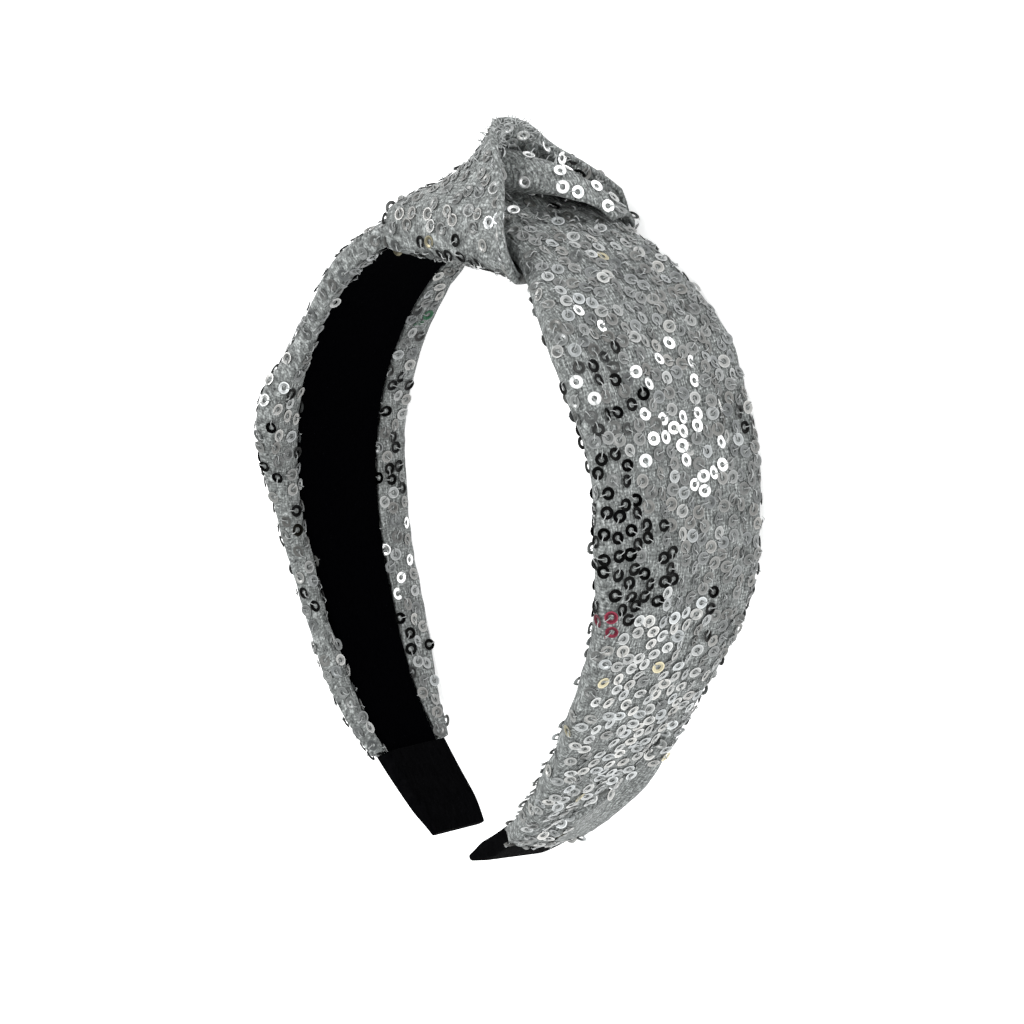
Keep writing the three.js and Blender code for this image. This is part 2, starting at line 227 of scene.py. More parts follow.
def net_height(graph: Graph, place: bpy.types.NodeSocket) -> bpy.types.NodeSocket:
    """Adds the fine diamond net of the knit, laid round the arch.

    Args:
        graph: The graph that it is added to.
        place: The point's coordinates.

    Returns:
        The net's height, from 0 in its holes to 1.
    """
    drift = graph.node("ShaderNodeTexNoise")
    drift.inputs["Scale"].default_value = 380.0
    graph.link(place, drift.inputs["Vector"])
    pulled = graph.node("ShaderNodeVectorMath", operation="MULTIPLY_ADD")
    pulled.inputs[1].default_value = (NET_DRIFT_MM * MM,) * 3
    graph.link(drift.outputs["Color"], pulled.inputs[0])
    graph.link(place, pulled.inputs[2])
    apart = graph.node("ShaderNodeSeparateXYZ")
    graph.link(pulled.outputs[0], apart.inputs[0])
    turn = graph.math("ARCTAN2", apart.outputs["X"], apart.outputs["Y"])
    round_arch = graph.math("MULTIPLY", turn, ARCH_RADIUS_MM / NET_MM * math.tau)
    across = graph.math("MULTIPLY", apart.outputs["Z"], math.tau / (NET_MM * MM))
    first = graph.math("SINE", graph.math("ADD", round_arch, across), 0.0)
    second = graph.math("SINE", graph.math("SUBTRACT", round_arch, across), 0.0)
    both = graph.math("MULTIPLY", first, second)
    return graph.math("MULTIPLY", graph.math("ADD", both, 1.0), 0.5)


@dataclass(frozen=True)
class ClothFinish:
    """A cloth's finish: colours from its gaps to its brightest strands, and its relief."""

    name: str
    stops: tuple
    strand_scale: float
    fleck_scale: float
    roughness: float
    relief_mm: float
    sheen: float
    shine: float = 0.5
    net: float = 0.0

    def material(self, strands: bpy.types.NodeTree) -> Material:
        """Builds the finish's material.

        Args:
            strands: The group of fine strands.

        Returns:
            The material.
        """
        made = bpy.data.materials.new(self.name)
        made.use_nodes = True
        graph = Graph(made.node_tree)
        shader = made.node_tree.nodes["Principled BSDF"]
        shader.inputs["Roughness"].default_value = self.roughness
        shader.inputs["Sheen Weight"].default_value = self.sheen
        shader.inputs["Sheen Roughness"].default_value = 0.4
        shader.inputs["Specular IOR Level"].default_value = self.shine
        fine = graph.node("ShaderNodeGroup", node_tree=strands)
        fine.inputs["Strand Scale"].default_value = self.strand_scale
        fine.inputs["Fleck Scale"].default_value = self.fleck_scale
        strand = graph.math("MULTIPLY", fine.outputs["Strand"], STRAND_SHARE)
        fleck = graph.math("MULTIPLY", fine.outputs["Fleck"], 1.0 - STRAND_SHARE)
        net = graph.math("SUBTRACT", fine.outputs["Net"], 0.5)
        net = graph.math("MULTIPLY", net, self.net)
        mixed = graph.math("ADD", graph.math("ADD", strand, fleck), net)
        graph.link(graph.ramp(mixed, list(self.stops)), shader.inputs["Base Color"])
        bump = graph.node("ShaderNodeBump")
        bump.inputs["Distance"].default_value = self.relief_mm * MM
        graph.link(mixed, bump.inputs["Height"])
        graph.link(bump.outputs["Normal"], shader.inputs["Normal"])
        return made


@dataclass(frozen=True)
class SequinFinish:
    """The sequins' metal film, whose tone is the mesh's own attribute, with painted reflection
    and painted rim highlights in it.
    """

    name: str = "sequin_film"
    metallic: float = 1.0
    roughness: float = 0.33
    roughness_spread: float = 0.16
    haze_scale: float = 900.0

    def material(self) -> Material:
        """Builds the film's material.

        Returns:
            The material.
        """
        made = bpy.data.materials.new(self.name)
        made.use_nodes = True
        graph = Graph(made.node_tree)
        shader = made.node_tree.nodes["Principled BSDF"]
        shader.inputs["Metallic"].default_value = self.metallic
        tone = graph.node("ShaderNodeAttribute", attribute_name="tone")
        graph.link(tone.outputs["Color"], shader.inputs["Base Color"])
        haze = graph.node("ShaderNodeTexNoise")
        haze.inputs["Scale"].default_value = self.haze_scale
        place = graph.node("ShaderNodeTexCoord").outputs["Object"]
        graph.link(place, haze.inputs["Vector"])
        spread = graph.math("MULTIPLY", haze.outputs["Fac"], self.roughness_spread)
        graph.link(graph.math("ADD", spread, self.roughness), shader.inputs["Roughness"])
        return made


KNIT = ClothFinish(
    name="silver_knit",
    stops=(
        (0.3, (0.012, 0.013, 0.013)),
        (0.4, (0.085, 0.089, 0.088)),
        (0.52, (0.17, 0.179, 0.176)),
        (0.68, (0.48, 0.5, 0.495)),
    ),
    strand_scale=3200.0,
    fleck_scale=2400.0,
    roughness=0.62,
    relief_mm=0.4,
    sheen=0.05,
    shine=0.3,
    net=0.11,
)
VELVET = ClothFinish(
    name="black_velvet",
    stops=((0.3, (0.0002, 0.0002, 0.0004)), (0.7, (0.0008, 0.0008, 0.0012))),
    strand_scale=2600.0,
    fleck_scale=5200.0,
    roughness=1.0,
    relief_mm=0.12,
    sheen=0.0,
    shine=0.004,
)
SLEEVE_CLOTH = ClothFinish(
    name="black_sleeve_cloth",
    stops=((0.3, (0.0003, 0.0003, 0.0005)), (0.7, (0.0026, 0.0026, 0.003))),
    strand_scale=1900.0,
    fleck_scale=3600.0,
    roughness=1.0,
    relief_mm=0.2,
    sheen=0.0,
    shine=0.012,
)
THREAD = ClothFinish(
    name="stitch_thread",
    stops=((0.3, (0.28, 0.29, 0.29)), (0.7, (0.5, 0.51, 0.51))),
    strand_scale=4000.0,
    fleck_scale=4000.0,
    roughness=0.5,
    relief_mm=0.05,
    sheen=0.0,
)
LEG_CREASE = (
    (33.0, -62.0, 25.0),
    (36.5, -58.6, 23.0),
    (40.4, -53.3, 20.0),
    (43.5, -49.0, 17.0),
    (46.5, -43.5, 14.5),
    (50.5, -35.0, 13.0),
)


@dataclass
class Refined:
    """A finer, softer copy of one of the frame's pieces."""

    node: str
    name: str
    slot: Slot
    divisions: int = 2
    long_edge_mm: float = 0.0
    long_edge_cuts: int = 7
    joined_angle: float = math.radians(50)
    rim_hold: float = 0.5
    wrinkle_mm: float = 0.0
    crease: tuple = ()
    crease_mm: float = 3.6
    crease_width_mm: float = 1.1

    def build(self, frame: dict, material: Material) -> Piece:
        """Makes the piece from its node and hides the node.

        Args:
            frame: The loaded frame.
            material: The piece's material.

        Returns:
            The piece.
        """
        shape = bmesh.new()
        shape.from_mesh(frame["nodes"][self.node].data)
        bmesh.ops.remove_doubles(shape, verts=shape.verts, dist=WELD_MM * MM)
        bmesh.ops.join_triangles(
            shape,
            faces=shape.faces,
            angle_face_threshold=self.joined_angle,
            angle_shape_threshold=self.joined_angle,
        )
        if self.long_edge_mm:
            self._split_long_edges(shape)
        self._hold_rims(shape)
        mesh = bpy.data.meshes.new(self.name)
        shape.to_mesh(mesh)
        shape.free()
        rough = bpy.data.objects.new(self.name + "_rough", mesh)
        bpy.context.scene.collection.objects.link(rough)
        soft = rough.modifiers.new("soft", "SUBSURF")
        soft.levels = soft.render_levels = self.divisions
        settled = rough.evaluated_get(bpy.context.evaluated_depsgraph_get())
        fine = bpy.data.meshes.new_from_object(settled)
        fine.name = self.name
        bpy.data.objects.remove(rough)
        piece = bpy.data.objects.new(self.name, fine)
        bpy.context.scene.collection.objects.link(piece)
        if self.wrinkle_mm:
            self._wrinkle(fine)
        fine.polygons.foreach_set("use_smooth", [True] * len(fine.polygons))
        fine.materials.clear()
        fine.materials.append(material)
        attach(piece, BODY)
        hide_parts(self.node)
        LOG.info("%s: %d faces", self.name, len(fine.polygons))
        return piece

    def _split_long_edges(self, shape: bmesh.types.BMesh) -> None:
        """Divides the long edges, so that softening keeps the flat faces wide."""
        long_edges = [e for e in shape.edges if e.calc_length() > self.long_edge_mm * MM]
        bmesh.ops.subdivide_edges(
            shape, edges=long_edges, cuts=self.long_edge_cuts, use_grid_fill=True
        )

    def _hold_rims(self, shape: bmesh.types.BMesh) -> None:
        """Keeps the cut edges of the cloth where they are."""
        layer = shape.edges.layers.float.new("crease_edge")
        for edge in shape.edges:
            if len(edge.link_faces) == 2 and edge.calc_face_angle() > SHARP_EDGE:
                edge[layer] = self.rim_hold

    def _wrinkle(self, mesh: bpy.types.Mesh) -> None:
        """Raises soft gathers that run along the band, and presses the crease in."""
        normals = [v.normal.copy() for v in mesh.vertices]
        for vertex, normal in zip(mesh.vertices, normals):
            x, y, z = vertex.co / MM
            gather = noise.noise(Vector((x * 0.05, y * 0.05, z * 0.42)))
            dimple = noise.noise(Vector((x * 0.3, y * 0.3, z * 0.3 + 40.0)))
            rise = self.wrinkle_mm * (gather + 0.5 * dimple)
            inward = Vector((-x, -y, 0.0)).normalized()
            vertex.co += (normal * rise + inward * self._dent_mm(vertex.co / MM)) * MM
            vertex.co.z = max(vertex.co.z, 0.0)

    def _dent_mm(self, point: Vector) -> float:
        """Says how far the crease presses a point in.

        Args:
            point: The point, in millimetres.

        Returns:
            The depth in millimetres, 0 far from the crease.
        """
        dent = 0.0
        for start, end in zip(self.crease, self.crease[1:]):
            start, end = Vector(start), Vector(end)
            share = intersect_point_line(point, start, end)[1]
            away = (point - start.lerp(end, min(max(share, 0.0), 1.0))).length
            dent = max(dent, self.crease_mm * math.exp(-((away / self.crease_width_mm) ** 2)))
        return dent


@dataclass(frozen=True)
class Patch:
    """A round patch where sequins take one painted reflection tone, or are left out; in
    millimetres.
    """

    centre: tuple
    radius: float
    share: float
    reflection: PaintedReflection = PaintedReflection.GREY
    tint: tuple = PLAIN_TINT
    edge_loss: float = 0.4

    def takes(self, point: Vector, chance: float) -> bool:
        """Says whether the patch takes a sequin at a point.

        Args:
            point: The sequin's place.
            chance: A random number from 0 to 1.

        Returns:
            Whether it does, less often towards the patch's edge.
        """
        away = (point / MM - Vector(self.centre)).length / self.radius
        return away < 1.0 and chance < self.share * (1.0 - self.edge_loss * away * away)


def steady_faces(mesh: bpy.types.Mesh) -> list[tuple]:
    """Lists a mesh's faces in an order that is the same on every run.

    Args:
        mesh: The mesh.

    Returns:
        The faces, each from its lowest point on.
    """
    faces = []
    for polygon in mesh.polygons:
        corners = list(polygon.vertices)
        first = corners.index(min(corners))
        faces.append(tuple(corners[first:] + corners[:first]))
    return sorted(faces)


def strand_shape(line: list[tuple], section: list[tuple]) -> tuple[np.ndarray, np.ndarray]:
    """Draws a three-sided section along a line in the xz plane.

    Args:
        line: The line's points, in millimetres.
        section: How far each of its three corners stands off sideways, forward and up.

    Returns:
        The strand's points in metres, and its faces.
    """
    points = np.array([
        (x + forward, y, z + rise) for x, z in line for y, forward, rise in section
    ])
    faces = np.array([
        (3 * i + j, 3 * i + 3 + j, 3 * i + 3 + (j + 1) % 3, 3 * i + (j + 1) % 3)
        for i in range(len(line) - 1)
        for j in range(3)
    ])
    return points * MM, faces


def joined_copies(
    name: str, points: np.ndarray, faces: np.ndarray, seats: list, sizes: np.ndarray
) -> bpy.types.Mesh:
    """Joins a copy of a small four-sided-face shape at every seat into one mesh.

    Args:
        name: The mesh's name.
        points: The shape's points.
        faces: The shape's faces.
        seats: Each copy's place and its three axes.
        sizes: Each copy's size.

    Returns:
        The mesh.
    """
    axes = np.array([[list(side) for side in seat[1:]] for seat in seats])
    spots = np.array([list(seat[0]) for seat in seats])
    placed = np.einsum("vk,nkc->nvc", points, axes) * sizes[:, None, None]
    placed = placed + spots[:, None, :]
    steps = np.arange(len(seats))[:, None, None] * len(points)
    mesh = bpy.data.meshes.new(name)
    mesh.from_pydata(placed.reshape(-1, 3), [], (faces[None] + steps).reshape(-1, 4).tolist())
    return mesh


def added_piece(name: str, mesh: bpy.types.Mesh, material: Material) -> Piece:
    """Adds a piece of the cloth that no solid stands for.

    Args:
        name: The piece's name.
        mesh: Its mesh.
        material: Its material.

    Returns:
        The piece.
    """
    mesh.materials.append(material)
    piece = bpy.data.objects.new(name, mesh)
    bpy.context.scene.collection.objects.link(piece)
    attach(piece, BODY)
    return piece


@dataclass
class SequinField:
    """Ring sequins sewn over the open side of one piece of cloth."""

    name: str
    cloth: Piece
    spacing_mm: float
    seed: int
    # The base and the patches give each sequin its tone: painted reflection over the film's own
    # grey.
    base: PaintedReflection
    reflection_patches: tuple
    sparse: tuple = ()
    clear_mm: float = 6.0
    bare_edge: float = 0.0
    edge_normal: float = 0.8
    lowest_mm: float = 1.65
    tries_per_place: int = 14
    outer_mm: float = 1.37
    rim_mm: float = 0.3
    hole_mm: float = 0.6
    cup_mm: float = 0.12
    sides: int = 14
    lift_mm: float = 0.22
    tilt: float = 0.06
    loose_share: float = 0.03
    loose_tilt: float = 4.0
    # Painted highlight: each ring's outer rim is coloured this many times brighter.
    rim_highlight: float = 1.5
    gold_share: float = 0.012
    gold_tint: tuple = (1.1, 1.0, 0.7)
    stitch_mm: float = 0.2

    def ring(self) -> bpy.types.Mesh:
        """Turns one ring sequin out of a thin wedge, cupped towards its hole.

        Returns:
            The ring's mesh.
        """
        shape = bmesh.new()
        corners = [
            (self.outer_mm, self.cup_mm),
            (self.outer_mm - self.rim_mm, self.cup_mm + 0.01),
            (self.hole_mm, 0.0),
            (self.hole_mm + 0.05, -0.1),
        ]
        wedge = [shape.verts.new((x * MM, 0.0, z * MM)) for x, z in corners]
        edges = [shape.edges.new((a, b)) for a, b in zip(wedge, wedge[1:] + wedge[:1])]
        bmesh.ops.spin(
            shape,
            geom=wedge + edges,
            cent=(0, 0, 0),
            axis=(0, 0, 1),
            angle=math.tau,
            steps=self.sides,
            use_merge=True,
        )
        bmesh.ops.remove_doubles(shape, verts=shape.verts, dist=0.01 * MM)
        bmesh.ops.recalc_face_normals(shape, faces=shape.faces)
        mesh = bpy.data.meshes.new("ring")
        shape.to_mesh(mesh)
        shape.free()
        return mesh

    def places(self, open_air: BVHTree) -> list[tuple[Vector, Vector]]:
        """Finds evenly scattered places on the cloth's open side.

        Args:
            open_air: All the solid pieces, which hide what they cover.

        Returns:
            Points with their normals.
        """
        mesh = self.cloth.data
        mesh.calc_loop_triangles()
        triangles = mesh.loop_triangles
        areas = np.array([t.area for t in triangles])
        rng = np.random.default_rng(self.seed)
        cell = self.spacing_mm * MM
        tries = int(self.tries_per_place * areas.sum() / cell ** 2)
        chosen = rng.choice(len(triangles), size=tries, p=areas / areas.sum())
        mixes = rng.random((tries, 2))
        taken: dict[tuple, list[Vector]] = {}
        found = []
        for number, (a, b) in zip(chosen, mixes):
            triangle = triangles[number]
            if a + b > 1.0:
                a, b = 1.0 - a, 1.0 - b
            corners = [mesh.vertices[i].co for i in triangle.vertices]
            point = corners[0] + (corners[1] - corners[0]) * a + (corners[2] - corners[0]) * b
            if point.z < self.lowest_mm * MM:
                continue
            key = tuple(int(math.floor(c / cell)) for c in point)
            near = (
                other
                for dx in (-1, 0, 1)
                for dy in (-1, 0, 1)
                for dz in (-1, 0, 1)
                for other in taken.get((key[0] + dx, key[1] + dy, key[2] + dz), ())
            )
            if any((other - point).length < cell for other in near):
                continue
            normal = triangle.normal
            hit = open_air.ray_cast(point + normal * 0.3 * MM, normal, self.clear_mm * MM)
            if hit[0] is not None:
                continue
            if any(zone.takes(point, rng.random()) for zone in self.sparse):
                continue
            if normal.z > self.edge_normal and rng.random() < self.bare_edge:
                continue
            taken.setdefault(key, []).append(point)
            found.append((point, normal.copy()))
        return found

    def tone(self, point: Vector, rng: random.Random) -> tuple[float, float, float]:
        """Picks a sequin's colour: its painted reflection tone from the patches it lies in, and
        its tint.

        Args:
            point: The sequin's place.
            rng: The field's own random numbers.

        Returns:
            A linear colour.
        """
        reflection = self.base
        warmth = rng.uniform(-0.025, 0.025)
        tint = (1.0 + warmth, 1.01, 1.0 - warmth)
        if rng.random() < self.gold_share:
            tint = self.gold_tint
        for patch in self.reflection_patches:
            if patch.takes(point, rng.random()):
                reflection = patch.reflection
                if patch.tint != PLAIN_TINT:
                    tint = patch.tint
        level = rng.uniform(*reflection.value)
        return tuple(level * share for share in tint)

    def build(self, open_air: BVHTree, film: Material) -> tuple[Piece, list]:
        """Makes all the field's sequins as one mesh.

        Args:
            open_air: All the solid pieces.
            film: The sequins' material.

        Returns:
            The piece, and each sequin's place and axes for its stitch.
        """
        rng = random.Random(self.seed)
        ring = self.ring()
        points = np.array([v.co for v in ring.vertices])
        faces = np.array(steady_faces(ring))
        bpy.data.meshes.remove(ring)
        seats = []
        colours = []
        for point, normal in self.places(open_air):
            lean = Vector([rng.gauss(0, self.tilt) for _ in range(3)])
            if rng.random() < self.loose_share:
                lean *= self.loose_tilt
            up = (normal + lean).normalized()
            turn = Matrix.Rotation(rng.uniform(0, math.tau), 3, up)
            side = turn @ up.orthogonal().normalized()
            seat = point + normal * self.lift_mm * MM
            seats.append((seat, side, up.cross(side), up))
            colours.append(self.tone(point, rng))
        sizes = np.array([rng.uniform(0.96, 1.05) for _ in seats])
        mesh = joined_copies(self.name, points, faces, seats, sizes)
        # Painted highlight: the outer rim of every ring is coloured brighter than the rest.
        reach = np.hypot(points[:, 0], points[:, 1]) / MM
        highlight = np.where(reach > self.outer_mm - 0.1, self.rim_highlight, 1.0)
        tones = np.ones((len(seats), len(points), 4))
        tones[:, :, :3] = np.array(colours)[:, None, :] * highlight[None, :, None]
        layer = mesh.attributes.new("tone", "FLOAT_COLOR", "POINT")
        layer.data.foreach_set("color", tones.reshape(-1))
        piece = added_piece(self.name, mesh, film)
        LOG.info("%s: %d sequins", self.name, len(seats))
        return piece, seats

    def stitches(self, seats: list, thread: Material) -> Piece:
        """Sews each sequin down by a short thread from its hole over its rim.

        Args:
            seats: Each sequin's place and axes.
            thread: The thread's material.

        Returns:
            The piece.
        """
        half = self.stitch_mm / 2
        points, faces = strand_shape(
            [(0.1, -0.2), (0.7, 0.22), (1.3, 0.34), (1.7, -0.15)],
            [(-half, 0.0, 0.0), (half, 0.0, 0.0), (0.0, 0.0, half * 1.6)],
        )
        mesh = joined_copies(self.name + "_stitches", points, faces, seats, np.ones(len(seats)))
        return added_piece(mesh.name, mesh, thread)


@dataclass
class KnotTrim:
    """The small soft parts of the knot: the wrap's hem, the cloth tucked in and loose fibres."""

    hem_mm: float = 0.7
    hem_sides: int = 8
    shortest_rim: int = 30
    tucked_start: tuple = (5.2, 68.2, 10.0)
    tucked_mm: tuple = (14.0, 24.0)
    tucked_rise_mm: float = 5.6
    tucked_wall_mm: float = 1.0
    fibres: int = 1500
    fuzz_from_mm: float = 73.0
    fuzz_fade_mm: float = 11.0
    seed: int = 31

    def rim_line(self, node: Piece, toward: Vector) -> list[Vector]:
        """Finds the line round a node's outermost rim.

        Args:
            node: The node, a hollow one with open ends.
            toward: The way that the rim's end lies from the node's middle.

        Returns:
            The points of the rim, in order.
        """
        shape = bmesh.new()
        shape.from_mesh(node.data)
        bmesh.ops.remove_doubles(shape, verts=shape.verts, dist=WELD_MM * MM)
        sharp = [
            edge
            for edge in shape.edges
            if len(edge.link_faces) == 2 and edge.calc_face_angle() > SHARP_EDGE
        ]
        loops = []
        while sharp:
            loop = list(sharp.pop(0).verts)
            while onward := [edge for edge in loop[-1].link_edges if edge in sharp]:
                sharp.remove(onward[0])
                loop.append(onward[0].other_vert(loop[-1]))
            if len(loop) > self.shortest_rim:
                loops.append([v.co.copy() for v in dict.fromkeys(loop)])
        shape.free()
        return max(loops, key=lambda line: self._reach(line, toward))

    def _reach(self, line: list[Vector], toward: Vector) -> float:
        """Ranks rims by how far out they lie, and then by how wide they are."""
        middle = sum(line, Vector()) / len(line)
        return 10 * middle.dot(toward) + sum((p - middle).length for p in line) / len(line)

    def hem(self, wrap: Piece, knit: Material) -> Piece:
        """Rolls a thin hem round the wrap's mouth.

        Args:
            wrap: The wrap's node.
            knit: The hem's material.

        Returns:
            The hem.
        """
        points, faces = tube(self.rim_line(wrap, EAST), self.hem_mm * MM, self.hem_sides)
        for point in points:
            point.z = max(point.z, 0.0)
        mesh = bpy.data.meshes.new("wrap_hem")
        mesh.from_pydata(points, [], faces)
        mesh.polygons.foreach_set("use_smooth", [True] * len(mesh.polygons))
        return added_piece("wrap_hem", mesh, knit)

    def tucked(self, knit: Material) -> Piece:
        """Lays the cloth that shows inside the wrap's mouth, under the fold.

        Args:
            knit: The cloth's material.

        Returns:
            The cloth.
        """
        shape = bmesh.new()
        grid = bmesh.ops.create_grid(shape, x_segments=28, y_segments=48, size=0.5)
        start = Vector(self.tucked_start)
        for vertex in grid["verts"]:
            inward = 0.5 - vertex.co.x
            forward = vertex.co.y + 0.5
            ripple = 0.5 * noise.noise(Vector((inward * 3.0, forward * 9.0, 2.0)))
            bulge = math.sin(forward * math.pi)
            vertex.co = MM * (start + Vector((
                -inward * self.tucked_mm[0],
                inward ** 1.4 * self.tucked_rise_mm * bulge + ripple,
                forward * self.tucked_mm[1],
            )))
        bmesh.ops.recalc_face_normals(shape, faces=shape.faces)
        if sum(f.normal.y for f in shape.faces) < 0:
            bmesh.ops.reverse_faces(shape, faces=shape.faces)
        bmesh.ops.solidify(shape, geom=shape.faces[:], thickness=self.tucked_wall_mm * MM)
        walled = bpy.data.meshes.new("tucked_walls")
        shape.to_mesh(walled)
        shape.free()
        mesh = bpy.data.meshes.new("tucked_cloth")
        mesh.from_pydata([v.co.copy() for v in walled.vertices], [], steady_faces(walled))
        bpy.data.meshes.remove(walled)
        mesh.polygons.foreach_set("use_smooth", [True] * len(mesh.polygons))
        return added_piece("tucked_cloth", mesh, knit)

    def fuzz(self, cloths: list[Piece], thread: Material) -> Piece:
        """Raises fine loose fibres from the knot's top.

        Args:
            cloths: The knot's cloths.
            thread: The fibres' material.

        Returns:
            The fibres.
        """
        rng = random.Random(self.seed)
        roots = [
            (v.co.copy(), v.normal.copy())
            for cloth in cloths
            for v in cloth.data.vertices
            if rng.random() < ((v.co.y / MM - self.fuzz_from_mm) / self.fuzz_fade_mm) ** 3
        ]
        seats = []
        for point, normal in rng.sample(roots, min(self.fibres, len(roots))):
            lean = Vector([rng.gauss(0, 0.5) for _ in range(3)])
            up = (normal + lean).normalized()
            side = up.orthogonal().normalized()
            side = Matrix.Rotation(rng.uniform(0, math.tau), 3, up) @ side
            seats.append((point, side, up.cross(side), up))
        points, faces = strand_shape(
            [(0.0, -0.1), (0.12, 0.4), (0.35, 0.75), (0.8, 0.95)],
            [(-0.07, 0.0, 0.0), (0.07, 0.0, 0.0), (0.0, 0.1, 0.0)],
        )
        sizes = np.array([rng.uniform(0.8, 1.8) for _ in seats])
        mesh = joined_copies("knot_fuzz", points, faces, seats, sizes)
        return added_piece("knot_fuzz", mesh, thread)


def tube(line: list[Vector], radius: float, sides: int) -> tuple[list, list]:
    """Makes a closed round tube along a loop.

    Args:
        line: The loop's points.
        radius: The tube's radius.
        sides: Its number of sides.

    Returns:
        Its points and its faces.
    """
    points = []
    faces = []
    count = len(line)
    middle = sum(line, Vector()) / count
    for i, spot in enumerate(line):
        along = (line[(i + 1) % count] - line[i - 1]).normalized()
        side = (spot - middle).cross(along).normalized()
        other = along.cross(side)
        for j in range(sides):
            turn = j / sides * math.tau
            points.append(spot + (side * math.cos(turn) + other * math.sin(turn)) * radius)
            faces.append([
                i * sides + j,
                i * sides + (j + 1) % sides,
                (i + 1) % count * sides + (j + 1) % sides,
                (i + 1) % count * sides + j,
            ])
    return points, faces


@dataclass
class Studio:
    """The pale floor, the soft lights and the camera."""

    eye_mm: tuple = (501.52, 290.8, 527.6)
    right: tuple = (0.666329, 0.130039, -0.734231)
    up: tuple = (-0.366545, 0.914615, -0.17066)
    focal_px: float = 3588.6
    frame_px: float = 1024.0
    centre_px: tuple = (497.1, 526.4)
    sensor_mm: float = 36.0

    def camera(self) -> None:
        """Puts the camera where the photograph was taken from."""
        lens = bpy.data.cameras.new("camera")
        lens.sensor_width = self.sensor_mm
        lens.lens = self.focal_px / self.frame_px * self.sensor_mm
        lens.shift_x = 0.5 - self.centre_px[0] / self.frame_px
        lens.shift_y = self.centre_px[1] / self.frame_px - 0.5
        lens.clip_start = 0.01
        right = Vector(self.right).normalized()
        up = Vector(self.up)
        up = (up - right * up.dot(right)).normalized()
        turn = Matrix((right, up, right.cross(up))).transposed().to_4x4()
        camera = bpy.data.objects.new("camera", lens)
        camera.matrix_world = Matrix.Translation(Vector(self.eye_mm) * MM) @ turn
        bpy.context.scene.collection.objects.link(camera)
        bpy.context.scene.camera = camera

    def floor(self) -> None:
        """Lays the pale floor."""
        shape = bmesh.new()
        bmesh.ops.create_grid(shape, x_segments=1, y_segments=1, size=4.0)
        mesh = bpy.data.meshes.new("floor")
        shape.to_mesh(mesh)
        shape.free()
        pale = bpy.data.materials.new("pale_floor")
        pale.use_nodes = True
        shader = pale.node_tree.nodes["Principled BSDF"]
        shader.inputs["Base Color"].default_value = (0.9, 0.9, 0.9, 1.0)
        shader.inputs["Roughness"].default_value = 0.9
        shader.inputs["Emission Color"].default_value = (1.0, 1.0, 1.0, 1.0)
        shader.inputs["Emission Strength"].default_value = 0.6
        mesh.materials.append(pale)
        floor = bpy.data.objects.new("floor", mesh)
        bpy.context.scene.collection.objects.link(floor)

    def light(self, name: str, place: tuple, size: float, power: float) -> None:
        """Hangs a soft square light that faces the headband.

        Args:
            name: The light's name.
            place: Where it hangs, in metres.
            size: Its side, in metres.
            power: Its power, in watts.
        """
        lamp = bpy.data.lights.new(name, "AREA")
        lamp.size = size
        lamp.energy = power
        held = bpy.data.objects.new(name, lamp)
        held.location = place
        held.rotation_euler = Vector(place).to_track_quat("Z", "Y").to_euler()
        bpy.context.scene.collection.objects.link(held)

    def build(self) -> None:
        """Sets up the whole studio."""
        self.camera()
        self.floor()
        self.light("key", (0.2, 0.6, 1.3), 0.6, 10.0)
        self.light("fill", (1.1, -0.5, 0.9), 0.8, 6.5)
        self.light("rim", (-0.9, 0.2, 0.8), 0.5, 8.0)
        world = bpy.data.worlds.new("studio")
        world.use_nodes = True
        back = world.node_tree.nodes["Background"]
        back.inputs["Color"].default_value = (0.93, 0.96, 0.95, 1.0)
        back.inputs["Strength"].default_value = 0.73
        bpy.context.scene.world = world
        bpy.context.scene.view_settings.view_transform = "Standard"


